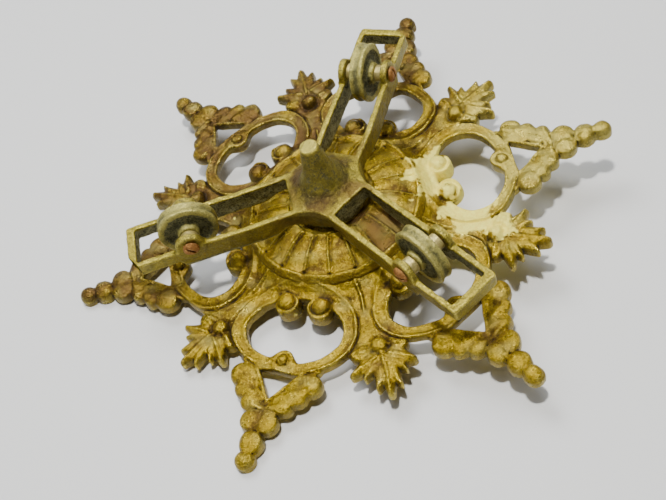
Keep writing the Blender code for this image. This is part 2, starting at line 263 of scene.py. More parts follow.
R = POINT_RADIUS
ROOT_3_HALVES = math.cos(math.radians(30))
INNER_RADIUS = 48.0                  # the star's plate ends here, where the dome begins
SKIRT_RADII = (43.0, 44.2, 45.0, 46.0, 47.0, 48.2, 52.0, 56.5, 61.0, 200.0)
SKIRT_HEIGHTS = (9.4, 9.3, 10.4, 11.0, 10.4, 8.5, 5.5, 3.2, 2.0, 2.0)


def fold(x, y):
    """One half sector stands for all twelve: x across the point's axis, y along it."""
    radius = np.hypot(x, y)
    turn = np.arctan2(x, y)
    turn = turn - SECTOR * np.round(turn / SECTOR)
    return np.abs(radius * np.sin(turn)), radius * np.cos(turn), radius


# Leaf lobes from the tip back to the base, as tapered strokes: (start, end, first radius, last radius).
# Here and in the rest of the star's plan, lengths are shares of POINT_RADIUS.
LEAF_LOBES = (
    (((0.640, 0.000), (0.786, 0.000), 0.050, 0.015), ((0.705, 0.012), (0.762, 0.044), 0.035, 0.007)),
    (((0.650, 0.022), (0.687, 0.108), 0.042, 0.012), ((0.668, 0.032), (0.713, 0.072), 0.035, 0.007)),
    (((0.612, 0.020), (0.619, 0.070), 0.040, 0.029),))
LEAF_ANGLES = (-180.0, -120.0, -60.0, 0.0, 60.0, 120.0)
LEAF_SHIFTS = (4.9, 2.6, -2.2, -2.0, 0.0, 0.0)       # each leaf sits a little to one side, in millimetres


def leaf_maps(u, v):
    """Outline distance and relief height of one leaf: u along its axis, v across."""
    edge = circle(u, v, (0.630, 0.0), 0.066)
    height = cap(np.hypot(u - 0.62, v), 0.10, 0.8)
    for strokes in LEAF_LOBES:
        lobe = 9.0 + 0 * u
        for start, end, first, last in strokes:
            lobe = smooth_min(lobe, capsule(u, v, start, end, first, last), 0.003)
        edge = smooth_min(edge, lobe, 0.003)
        rib = capsule(u, v, strokes[0][0], strokes[0][1], 0, 0) * R
        inside = np.clip(-lobe * R, 0, 9)
        pillow = 1.5 * np.sqrt(np.clip(inside / 1.6, 0, 1)) + 0.22 * inside
        pillow = pillow + 0.35 * ridge(rib, 0, 0.7, 1)
        pillow = pillow - 0.35 * ridge(rib, 1.9, 0.9, 1)
        height = np.maximum(height, pillow * (lobe < 0))
    return edge, height


# One side's petals along a point, as tapered strokes, from the tip inwards.
PETALS = (((0.016, 0.822), (0.066, 0.794), 0.022, 0.032),
          ((0.040, 0.778), (0.100, 0.747), 0.026, 0.035),
          ((0.078, 0.716), (0.129, 0.697), 0.034, 0.043))


# The old casting is a little bent: how far each tip has risen and swung round, in millimetres, from
# the tip at -150 degrees round to the one at 150.
TIP_RISES = (-0.8, 0.3, 1.1, -4.6, -1.5, -1.3)
TIP_SWINGS = (-1.4, -5.0, -2.3, 4.9, 3.0, -3.4)
BEND_START = 48.0


def bent(x, y, amounts):
    """Grows along each point and fades to nothing at the leaves between them."""
    turns = np.zeros(12)
    turns[1::2] = amounts
    share = np.clip((np.hypot(x, y) - BEND_START) / (POINT_RADIUS - BEND_START), 0, 1.1)
    angle = np.degrees(np.arctan2(y, x))
    return share ** 1.5 * np.interp(angle, np.arange(-180, 180, 30), turns, period=360)


# Places and sizes on a point, with x across its axis and y along it.
TIP_BALL = ((0, 1.0), 0.0370)
BEAD = ((0, 0.939), 0.0445)
PAIRED_BALLS = ((0.026, 0.862), 0.0425)
BUMP = ((0, 0.628), 0.041)
KNOB = ((0.060, 0.410), 0.0475)
OPENING = (0, 0.505)
OPENING_HALF_SIZES = (0.1835, 0.122)
RING_HALF_WIDTH, RING_OUTWARD, RING_INWARD = 0.237, 0.165, 0.187
POINT_TOP, POINT_ROOT, POINT_HALF_WIDTH = 0.868, 0.625, 0.150
BUD = 0.606                          # distance of a leaf's bud from the star's centre


def star_plan(x, y):
    """Folded coordinates over the plan, as shares of the point radius, after the casting's bends."""
    swing = bent(x, y, TIP_SWINGS) / np.maximum(np.hypot(x, y), 1)
    x, y = x * np.cos(swing) + y * np.sin(swing), y * np.cos(swing) - x * np.sin(swing)
    bend_x = x + 0.45 * waves(3, 40, x, y, 0) + 0.18 * waves(6, 11, x, y, 0)
    bend_y = y + 0.45 * waves(4, 40, x, y, 0) + 0.18 * waves(7, 11, x, y, 0)
    a, b, radius = fold(bend_x / R, bend_y / R)
    u = a * 0.5 + b * ROOT_3_HALVES
    v = np.abs(b * 0.5 - a * ROOT_3_HALVES)
    turn = np.arctan2(bend_y, bend_x)
    leaf_turn = SECTOR * np.round(turn / SECTOR)
    shift = np.interp(np.degrees(leaf_turn), LEAF_ANGLES, LEAF_SHIFTS, period=360) / R
    leaf_v = np.abs(radius * np.sin(turn - leaf_turn) - shift)
    return SimpleNamespace(x=x, y=y, a=a, b=b, u=u, v=v, radius=radius, leaf_v=leaf_v)


def star_outline(plan):
    """Distance to the star's outline; the distances to its details are kept in the plan."""
    a, b, u, v = plan.a, plan.b, plan.u, plan.v
    plan.tip = circle(a, b, *TIP_BALL)
    plan.bead = circle(a, b, *BEAD)
    plan.pair = circle(a, b, *PAIRED_BALLS)
    edge = smooth_min(plan.tip, plan.bead, 0.006)
    edge = smooth_min(edge, capsule(a, b, (0, 0.985), (0, 0.87), 0.022, 0.034), 0.004)
    edge = smooth_min(edge, plan.pair, 0.005)
    body = np.maximum((a * 0.835 + (b - POINT_TOP) * 0.55), POINT_ROOT - b)
    body = np.maximum(body, (b - POINT_TOP))
    plan.body = np.maximum(body, a - POINT_HALF_WIDTH)
    edge = smooth_min(edge, plan.body, 0.004)
    for start, end, first, last in PETALS:
        edge = smooth_min(edge, capsule(a, b, start, end, first, last), 0.003)
    plan.ring = np.where(b > OPENING[1], ellipse(a, b, OPENING, RING_HALF_WIDTH, RING_OUTWARD),
                         ellipse(a, b, OPENING, RING_HALF_WIDTH, RING_INWARD))
    edge = smooth_min(edge, plan.ring, 0.006)
    web = np.maximum(v - 0.085, np.abs(u - 0.50) - 0.11)
    edge = smooth_min(edge, web, 0.010)
    plan.leaf, plan.leaf_height = leaf_maps(u, plan.leaf_v)
    edge = smooth_min(edge, plan.leaf, 0.005)
    edge = np.minimum(edge, plan.radius - 0.40)
    plan.knob = circle(a, b, *KNOB)
    bump = circle(a, b, *BUMP)
    plan.opening = ellipse(a, b, OPENING, *OPENING_HALF_SIZES)
    hole = smooth_max(smooth_max(plan.opening, -bump, 0.030), -plan.knob, 0.006)
    side = (a * 0.813 + (b - 0.774) * 0.582)
    plan.triangle = smooth_max(side, 0.671 - b, 0.004)
    edge = smooth_max(edge, -hole, 0.002)
    return smooth_max(edge, -plan.triangle, 0.002)


def plate_relief(plan):
    """Height in millimetres of the plain plate, with the raised rim of the opening's ring."""
    a, b, v, radius = plan.a, plan.b, plan.v, plan.radius
    height = np.interp(radius * R, SKIRT_RADII, SKIRT_HEIGHTS) + 0 * a
    from_opening = plan.opening * R
    in_ring = -plan.ring * R
    on_band = ramp(in_ring, -0.3, 0.5) * ramp(from_opening, -0.5, 0.4)
    band = (0.35 + ridge(in_ring, 1.0, 0.8, 0.6) + ridge(from_opening, 0.9, 0.8, 0.25)
            - ridge(from_opening, 3.6, 1.9, 0.45)) * on_band
    above = ramp(b, 0.615, 0.65) * ramp(a, 0.13, 0.07)
    height = height + band * (1 - above)
    seam = ridge(v * R, 0.0, 0.65, 0.8) * ramp(radius, 0.46, 0.44) * ramp(radius, 0.335, 0.355)
    dimple = -0.9 * ramp(plan.ring * R, 0.3, 2.0) * ramp(radius, 0.46, 0.42) * ramp(v * R, 0.2, 1.5)
    height = height + seam + dimple
    gap = np.minimum(plan.ring * R, 8)
    return height - ridge(gap, 0.4, 0.5, 0.9) * ramp(radius, 0.40, 0.44)


def leaf_relief(plan, height):
    """The leaf with its bud."""
    leaf = plan.leaf_height * ramp(plan.leaf * R, 0.3, -0.3) * ramp(plan.u, 0.575, 0.60)
    height = height + leaf * ramp(plan.ring * R, 0.0, 1.5)
    bud = np.hypot(plan.u - BUD, plan.leaf_v)
    height = height - ridge(bud * R, 5.0, 1.3, 1.5) * ramp(plan.ring * R, 0.0, 1.0)
    return np.maximum(height, cap(bud, 0.029, 3.2) + 2.7 - 3.0 * (bud > 0.029))


def point_relief(plan, height):
    """Rails along the triangle, overlapping petals, the heart and the balls."""
    a, b = plan.a, plan.b
    from_triangle = plan.triangle * R
    rail = (0.3 + ridge(from_triangle, 1.0, 0.8, 0.5)) * ramp(b, 0.60, 0.66) * ramp(plan.ring * R, -1.5, 0.5)
    height = height + rail * (plan.body < 0.004)
    height = height - ridge(from_triangle, 2.3, 0.8, 0.5) * ramp(b, 0.64, 0.68)
    for start, end, first, last in PETALS:
        petal = capsule(a, b, start, end, first, last) * R
        inside = np.clip(-petal, 0, 9)
        rise = 2.1 + 1.5 * np.sqrt(np.clip(inside / 2.4, 0, 1)) + 0.12 * inside
        rise = rise + 0.25 * waves(10, 6, plan.x, plan.y, 0)
        rise = rise - 0.30 * inside * ramp(from_triangle, 6.5, 1.5)
        height = np.maximum(height, np.where((petal < 0) & (from_triangle > 1.7), rise, 0))
    heart = smooth_min(plan.pair, capsule(a, b, (0, 0.85), (0, 0.835), 0.030, 0.016), 0.006) * R
    inside = np.clip(-heart, 0, 9)
    rise = 2.3 + 1.9 * np.sqrt(np.clip(inside / 4.0, 0, 1))
    rise = rise - ridge(a * R, 0, 1.2, 0.6) * ramp(b, 0.87, 0.84)
    height = np.where(heart < 0, rise, height - ridge(heart, 0.3, 0.45, 0.5) * (b > 0.8))
    facets = 0.22 * waves(9, 4.5, plan.x, plan.y, 0)
    bead_rise = 2.0 + cap(np.hypot(a, (b - BEAD[0][1]) * 1.1), 0.0430, 3.0) + facets
    height = np.where(plan.bead < 0, np.maximum(bead_rise, height - 2.4 * (b > 0.905)), height)
    tip_rise = 2.2 + cap(np.hypot(a, b - TIP_BALL[0][1]), 0.0330, 2.9)
    return np.where(plan.tip < 0, np.maximum(tip_rise, height * (b < 0.975)), height)


def bump_relief(plan, height):
    """The small ball in its ring, where the opening meets the point."""
    a, b = plan.a, plan.b
    from_bump = np.hypot(a, b - BUMP[0][1]) * R
    swell = 1.2 * ramp(np.hypot(a, b - 0.622) * R, 9.0, 4.0) - ridge(from_bump, 3.4, 0.6, 0.5)
    height = height + swell
    return np.maximum(height, cap(from_bump, 3.1, 1.9) + 3.0 - 3 * (from_bump > 3.1))


def knob_relief(plan, height):
    """One of the pair of knobs inside the opening: drum, crescent and ball."""
    a, b = plan.a, plan.b
    drum = ramp(plan.knob * R, 0.6, -0.6)
    from_knob = np.hypot(a - KNOB[0][0], b - KNOB[0][1]) * R
    crescent = ridge(from_knob, 5.6, 0.8, 1.5) * ramp(a, 0.066, 0.045)
    from_ball = np.hypot(a - 0.0655, b - 0.404) * R
    knob_height = np.maximum(4.1 + crescent, 3.6 + cap(from_ball, 5.0, 4.2))
    return np.maximum(height, np.where(drum > 0, knob_height * drum, 0))


def star_maps(x, y):
    """Outline distance and height of the star's front, in millimetres, over the plan."""
    plan = star_plan(x, y)
    edge = star_outline(plan)
    height = leaf_relief(plan, plate_relief(plan))
    height = point_relief(plan, height)
    height = knob_relief(plan, bump_relief(plan, height))
    return edge * R, height


STAR_BACK = -3.0
COLLAR_RADII, COLLAR_RISES = (46, 48, 56, 58), (1.8, 1.2, 0.6, 0)     # the back steps up to the dome


def star_field(x, y, z):
    edge, height = star_maps(x[:, :, 0], y[:, :, 0])
    radius = np.hypot(x, y)
    z = z - bent(x[:, :, 0], y[:, :, 0], TIP_RISES)[:, :, None]
    rough = 0.10 * waves(11, 7, x, y, z) + 0.07 * waves(12, 2.6, x, y, z)
    top = z - height[:, :, None] + rough
    wall = edge[:, :, None] + 0.12 * waves(13, 8, x, y, z)
    back = STAR_BACK + np.interp(radius, COLLAR_RADII, COLLAR_RISES) - z
    body = smooth_max(top, wall, 1.2)
    body = smooth_max(body, back, 0.9)
    return smooth_max(body, INNER_RADIUS - radius, 0.6)


# ---------------------------------------------------------------- dome

DOME_RADII = (0, 20.2, 21.0, 22.5, 24.5, 28.0, 32.0, 35.5, 38.5,
              41.0, 42.8, 43.8, 44.8, 46.0, 47.2, 48.3, 50.0)
DOME_HEIGHTS = (15.0, 15.0, 15.7, 16.0, 14.7, 14.6, 14.0, 13.0, 11.6,
                10.2, 9.5, 9.4, 10.4, 11.2, 10.3, 8.6, 7.0)
UNDER_RADII = (0, 20, 30, 38, 43, 47, 50)
UNDER_HEIGHTS = (11.5, 11.5, 11.0, 8.9, 5.0, -1.0, -1.5)
DOME_EDGE = 48.9
BOLT_HOLE = 4.0
PANELS = 20
PANEL_START, PANEL_END = 23.0, 43.3


def dome_field(x, y, z):
    plan_x, plan_y = x[:, :, 0] + 0.3 * waves(5, 25, x, y, 0)[:, :, 0], y[:, :, 0]
    radius = np.hypot(plan_x, plan_y)
    turn = np.arctan2(plan_y, plan_x)
    pitch = 2 * math.pi / PANELS
    turn = turn - pitch * np.round(turn / pitch)
    across = radius * turn
    half = radius * pitch / 2
    inside = smooth_min(half - np.abs(across), PANEL_END - radius, 3.6)
    inside = np.minimum(inside, radius - PANEL_START)
    panel = ramp(inside, -1.3, -0.3) * 0.9 + 1.5 * (1 - (across / half) ** 2) ** 0.7
    seam = ridge(half - np.abs(across), 0.0, 0.6, 1.7) - ridge(half + across, 1.5, 0.6, 0.4)
    height = np.interp(radius, DOME_RADII, DOME_HEIGHTS) + panel * ramp(radius, 22.6, 24.0)
    height = height + seam * ramp(radius, 23.2, 25.0) * ramp(radius, 44.0, 43.2)
    lip = 0.35 * waves(8, 9, plan_x, plan_y, 0) * ramp(radius, 19, 21) * ramp(radius, 24.5, 22.5)
    height = height + lip
    under = np.interp(radius, UNDER_RADII, UNDER_HEIGHTS)
    rough = 0.06 * waves(21, 6, x, y, z) + 0.04 * waves(22, 2.4, x, y, z)
    full = np.hypot(x, y)
    body = smooth_max(z - height[:, :, None] + rough, under[:, :, None] - z, 0.5)
    return smooth_max(smooth_max(body, full - DOME_EDGE, 0.5), BOLT_HOLE - full, 0.3)


# ---------------------------------------------------------------- pulley frame

FRAME_TOP, FRAME_BOTTOM, OUTER_BAR_BOTTOM = 30.2, 17.7, 22.2
ARM_HALF_WIDTH, BAR_THICKNESS, ARM_END, END_BAR = 14.0, 3.1, 109.7, 4.6
SLOT_START = 19.4
HUB_ARCH = 3.4                       # how far the frame is hollowed beneath the hub
AXLE_DISTANCE, AXLE_HEIGHT = 75.0, 31.5
LUG_RADIUS, AXLE_HOLE = 7.3, 2.75
CONE_TOP, BORE_RADIUS, BORE_END = 59.4, 4.0, 43.8
CONE_HEIGHTS = (28.0, 31.0, 33.4, 37.5, 42.0, 47.0, 53.0, 59.0, 61.0)
CONE_RADII = (18.5, 15.0, 12.8, 10.4, 8.3, 6.9, 5.9, 4.8, 4.6)


def fold_arm(x, y):
    """Along and across the nearest arm; one half arm stands for all six."""
    third = math.radians(120)
    turn = np.arctan2(y, x) - math.radians(ARM_ANGLES[0])
    turn = turn - third * np.round(turn / third)
    radius = np.hypot(x, y)
    return radius * np.cos(turn), np.abs(radius * np.sin(turn))


def frame_field(x, y, z):
    plan_x = (x + 0.35 * waves(31, 45, x, y, 0))[:, :, 0]
    plan_y = (y + 0.35 * waves(32, 45, x, y, 0))[:, :, 0]
    along, across = fold_arm(plan_x, plan_y)
    turn = math.radians(120)
    next_across = np.abs(across * math.cos(turn) - along * math.sin(turn))
    next_along = along * math.cos(turn) + across * math.sin(turn)
    next_across = np.where(next_along > 0, next_across, 99)
    outer = smooth_min(across - ARM_HALF_WIDTH, next_across - ARM_HALF_WIDTH, 9.0)
    outer = smooth_max(outer, along - ARM_END, 1.6)
    slot = smooth_max(across - (ARM_HALF_WIDTH - BAR_THICKNESS), along - (ARM_END - END_BAR), 1.2)
    slot = smooth_max(slot, SLOT_START - along, 1.0)
    bottom = FRAME_BOTTOM + (OUTER_BAR_BOTTOM - FRAME_BOTTOM) * ramp(along, 80.5, 84.0)
    bottom = bottom + HUB_ARCH * ramp(np.hypot(plan_x, plan_y), 37, 27)
    mark = np.hypot(along - (ARM_END - 2.4), across - (ARM_HALF_WIDTH - 2.0))
    top = FRAME_TOP - ridge(mark, 1.3, 0.35, 0.4) + 0.12 * waves(33, 14, plan_x, plan_y, 0)
    plate = smooth_max(outer[:, :, None], z - top[:, :, None], 0.8)
    plate = smooth_max(plate, bottom[:, :, None] - z, 0.8)
    radius = np.hypot(x, y)
    cone = (radius - np.interp(z, CONE_HEIGHTS, CONE_RADII)) * 0.93
    cone = smooth_max(smooth_max(cone, z - CONE_TOP, 1.0), 18.0 - z, 0.5)
    body = smooth_min(plate, cone, 6.5)
    neck = np.maximum(radius - 19.0 + 0.4 * waves(34, 9, x, y, z), np.maximum(z - 22.0, 15.4 - z))
    body = smooth_min(body, neck, 0.8)
    body = smooth_max(body, -slot[:, :, None], 0.9)
    lug = np.hypot(along[:, :, None] - AXLE_DISTANCE, z - AXLE_HEIGHT)
    ear = np.abs(across[:, :, None] - (ARM_HALF_WIDTH - BAR_THICKNESS / 2)) - (BAR_THICKNESS / 2 + 0.25)
    body = smooth_min(body, smooth_max(lug - LUG_RADIUS, ear, 1.0), 2.6)
    body = np.maximum(body, -(lug - AXLE_HOLE))
    body = np.maximum(body, -np.maximum(radius - BORE_RADIUS, z - BORE_END))
    return body + 0.07 * waves(35, 7, x, y, z) + 0.05 * waves(36, 2.4, x, y, z)


def slot_wall(x, y, z):
    """The rough inner walls of the slots, the cone's sides and the underside of the hub."""
    along, across = fold_arm(x, y)
    inner = ramp(across, 12.3, 11.4) * ramp(along, SLOT_START - 1.2, SLOT_START + 0.4)
    walls = inner * ramp(z, FRAME_TOP - 0.2, FRAME_TOP - 2.0) * (along < ARM_END - 2.5)
    cone = 0.42 * ramp(z, 33, 38) * ramp(z, 58.5, 57)
    return np.maximum(np.maximum(walls, cone), z < 19.5)


def polished(x, y, z):
    """The cone's polished top."""
    return ramp(z, 58.0, 59.0)


def browned(x, y, z):
    """Brown clouds on the hub's plate."""
    clouds = 0.60 + 0.5 * waves(84, 12, x, y, z)
    return np.clip(ramp(np.hypot(x, y), 38, 26) * ramp(z, 37, 32) * clouds, 0, 0.85)


# ---------------------------------------------------------------- turned pieces

OUTLINE_CELL, OUTLINE_MARGIN = 0.08, 2.0


def outline_distance(points):
    """Sampled distances to a closed outline of (radius, height) points, and the first height."""
    points = np.array(points, float)
    radii = np.arange(0, points[:, 0].max() + OUTLINE_MARGIN, OUTLINE_CELL)
    lowest, highest = points[:, 1].min() - OUTLINE_MARGIN, points[:, 1].max() + OUTLINE_MARGIN
    heights = np.arange(lowest, highest, OUTLINE_CELL)
    r, h = radii[:, None], heights[None, :]
    best = np.full((len(radii), len(heights)), 1e9)
    odd = np.zeros(best.shape, bool)
    for (r0, h0), (r1, h1) in zip(points, np.roll(points, -1, 0)):
        dr, dh = r1 - r0, h1 - h0
        if not (r0 == 0 and r1 == 0):
            t = np.clip(((r - r0) * dr + (h - h0) * dh) / (dr * dr + dh * dh), 0, 1)
            best = np.minimum(best, np.hypot(r - r0 - t * dr, h - h0 - t * dh))
        if h0 != h1:
            odd ^= ((h0 > h) != (h1 > h)) & (r < dr * (h - h0) / dh + r0)
    return np.where(odd, -best, best), heights[0]


def turned_field(points):
    """A function of radius and height: the distance to the surface turned from the outline."""
    table, first = outline_distance(points)

    def distance(radius, height):
        shape = np.broadcast(radius, height).shape
        column = np.broadcast_to(radius, shape).ravel() / OUTLINE_CELL
        row = np.broadcast_to(height - first, shape).ravel() / OUTLINE_CELL
        places = np.clip(np.stack([column, row], 1), 0, np.array(table.shape) - 1.001)
        low = places.astype(int)
        part = places - low
        value = 0
        for i in (0, 1):
            for j in (0, 1):
                value = value + (np.abs(1 - i - part[:, 0]) * np.abs(1 - j - part[:, 1])
                                 * table[low[:, 0] + i, low[:, 1] + j])
        return value.reshape(shape)
    return distance


# Half outlines of the turned pieces as (radius, height); the wheel's is mirrored over its middle.
WHEEL = [(2.6, 6.0), (4.9, 6.0), (5.6, 5.4), (6.0, 3.5), (7.0, 2.9), (10.6, 2.7), (12.0, 3.1), (13.0, 3.6),
         (14.9, 3.7), (15.8, 3.3), (16.0, 2.6), (15.8, 1.6), (15.4, 0.8), (15.3, 0.0)]
WHEEL += [(r, -h) for r, h in WHEEL[-2::-1]]
BUSH = [(2.8, 10.3), (4.1, 10.3), (4.6, 9.9), (4.55, 8.3), (4.6, 6.7), (4.2, 6.3), (2.8, 6.3)]
SCREW = [(0, 17.2), (1.6, 17.15), (2.8, 16.8), (3.8, 16.1), (4.35, 15.4), (4.35, 14.7), (4.1, 14.6),
         (2.5, 14.6), (2.5, -14.6), (1.9, -15.1), (0, -15.1)]


def wheel_field(seed):
    outline = turned_field(WHEEL)

    def field(x, y, z):
        radius = np.hypot(x, y)
        turn = np.arctan2(y, x)
        wobble = 0.18 * np.sin(turn + seed) * ramp(radius, 6, 16)
        worn = 0.16 * np.sin(3 * turn + 2.1 * seed) + 0.1 * np.sin(7 * turn + seed)
        value = outline(radius + worn * ramp(radius, 12, 16), z + wobble)
        face = ramp(radius, 6, 7) * ramp(radius, 13, 12)
        value = value + 0.05 * waves(seed + 40, 4, x, y, z)
        return value + (0.04 + 0.10 * face) * waves(seed + 41, 1.7, x, y, z)
    return field


def wheel_face(x, y, z):
    """The dished part of a wheel's faces."""
    radius = np.hypot(x, y)
    return ramp(radius, 5.8, 6.8) * ramp(radius, 13.4, 12.2)


def bush_field(seed):
    outline = turned_field(BUSH)
    return lambda x, y, z: outline(np.hypot(x, y), z) + 0.05 * waves(seed + 50, 2.5, x, y, z)


def screw_field(seed):
    outline = turned_field(SCREW)
    lean = math.radians(35 + 50 * seed)

    def field(x, y, z):
        radius = np.hypot(x, y)
        value = outline(radius, z)
        rough = 0.10 * waves(seed + 60, 2.2, x, y, z) + 0.05 * waves(seed + 61, 1.1, x, y, z)
        ragged = ramp(radius, 2.6, 3.2) * rough
        across = np.abs(x * math.sin(lean) - y * math.cos(lean))
        cut = np.maximum(across - 0.6, 16.0 - z)
        return smooth_max(value + ragged, -cut, 0.25)
    return field


# ---------------------------------------------------------------- hanging eye

EYE_RADIUS, EYE_WIRE, EYE_CENTRE = 8.5, 2.75, -6.0
WASHER = [(4.0, 11.2), (9.2, 11.2), (9.5, 10.9), (9.5, 10.2), (9.2, 9.9), (4.0, 9.9)]


def eye_field(x, y, z):
    height = z - EYE_CENTRE
    ring = np.hypot(np.hypot(x, height) - EYE_RADIUS, y) - EYE_WIRE
    turn = np.arctan2(y, x)
    thread = 0.22 * np.cos(turn - 2 * math.pi * z / 1.25) * ramp(z, 3.5, 5.5)
    shank = smooth_max(np.hypot(x, y) - 3.45 + thread, np.abs(z - 23.0) - 20.4, 0.5)
    body = smooth_min(ring, shank, 2.0)
    return body + 0.09 * waves(71, 5, x, y, z) + 0.05 * waves(72, 2.2, x, y, z)


NUT_HALF_WIDTH, NUT_HEIGHT, NUT_HALF_THICKNESS = 6.2, 7.6, 2.0


def nut_field(x, y, z):
    flats = 0
    for i in range(3):
        angle = math.radians(60 * i)
        flats = np.maximum(flats, np.abs(x * math.cos(angle) + y * math.sin(angle)))
    body = smooth_max(flats - NUT_HALF_WIDTH, np.abs(z - NUT_HEIGHT) - NUT_HALF_THICKNESS, 0.3)
    chamfer = (np.hypot(x, y) + np.abs(z - NUT_HEIGHT) - 8.8) * 0.7
    body = smooth_max(body, chamfer, 0.3)
    return np.maximum(body, BORE_RADIUS - np.hypot(x, y)) + 0.06 * waves(73, 3, x, y, z)


def washer_field(x, y, z):
    return turned_field(WASHER)(np.hypot(x, y), z) + 0.05 * waves(74, 3, x, y, z)


# ---------------------------------------------------------------- materials

class Nodes:
    """Short calls for building a material's node tree."""

    def __init__(self, name):
        self.material = bpy.data.materials.new(name)
        self.material.use_nodes = True
        self.tree = self.material.node_tree
        self.shader = self.tree.nodes["Principled BSDF"]
        self.coordinates = self.add("ShaderNodeTexCoord").outputs["Object"]

    def add(self, kind):
        return self.tree.nodes.new(kind)

    def link(self, source, socket):
        if isinstance(source, bpy.types.NodeSocket):
            self.tree.links.new(source, socket)
        else:
            socket.default_value = source

    def noise(self, size, detail=4.0, roughness=0.55, distortion=0.0):
        """Noise from 0 to 1 whose features are about size millimetres across."""
        node = self.add("ShaderNodeTexNoise")
        node.inputs["Scale"].default_value = 1 / (size * MM)
        node.inputs["Detail"].default_value = detail
        node.inputs["Roughness"].default_value = roughness
        node.inputs["Distortion"].default_value = distortion
        self.link(self.coordinates, node.inputs["Vector"])
        return node.outputs["Fac"]

    def attribute(self, name):
        node = self.add("ShaderNodeAttribute")
        node.attribute_name = name
        return node.outputs["Fac"]

    def upward(self):
        """The piece's own normal along Z, from -1 to 1."""
        node = self.add("ShaderNodeSeparateXYZ")
        self.link(self.add("ShaderNodeTexCoord").outputs["Normal"], node.inputs[0])
        return node.outputs["Z"]

    def math(self, operation, a, b=0.0, c=0.0):
        node = self.add("ShaderNodeMath")
        node.operation = operation
        for value, socket in zip((a, b, c), node.inputs):
            self.link(value, socket)
        return node.outputs[0]

    def step(self, value, start, end, low=0.0, high=1.0):
        node = self.add("ShaderNodeMapRange")
        node.interpolation_type = "SMOOTHSTEP"
        for label, number in (("Value", value), ("From Min", start), ("From Max", end),
                              ("To Min", low), ("To Max", high)):
            self.link(number, node.inputs[label])
        return node.outputs["Result"]

    def swing(self, value, amount):
        """How far the value is from its middle of 0.5, times the amount."""
        return self.math("MULTIPLY", self.math("SUBTRACT", value, 0.5), amount)

    def mix(self, share, a, b):
        node = self.add("ShaderNodeMix")
        node.data_type = "RGBA"
        self.link(share, node.inputs[0])
        self.link((*a, 1) if isinstance(a, tuple) else a, node.inputs[6])
        self.link((*b, 1) if isinstance(b, tuple) else b, node.inputs[7])
        return node.outputs[2]

    def bump(self, height, strength, distance, below=None):
        node = self.add("ShaderNodeBump")
        node.inputs["Strength"].default_value = strength
        node.inputs["Distance"].default_value = distance * MM
        self.link(height, node.inputs["Height"])
        if below:
            self.link(below, node.inputs["Normal"])
        return node.outputs["Normal"]


# Brown of tarnish, also used as painted shade.
DULL_AND_SHADE = (0.115, 0.062, 0.022)
PALE = (0.60, 0.52, 0.13)
# Green-brown of verdigris, also used as painted shade on walls.
VERDIGRIS_AND_SHADE = (0.12, 0.105, 0.032)
SPECULAR_LEVEL = 0.2


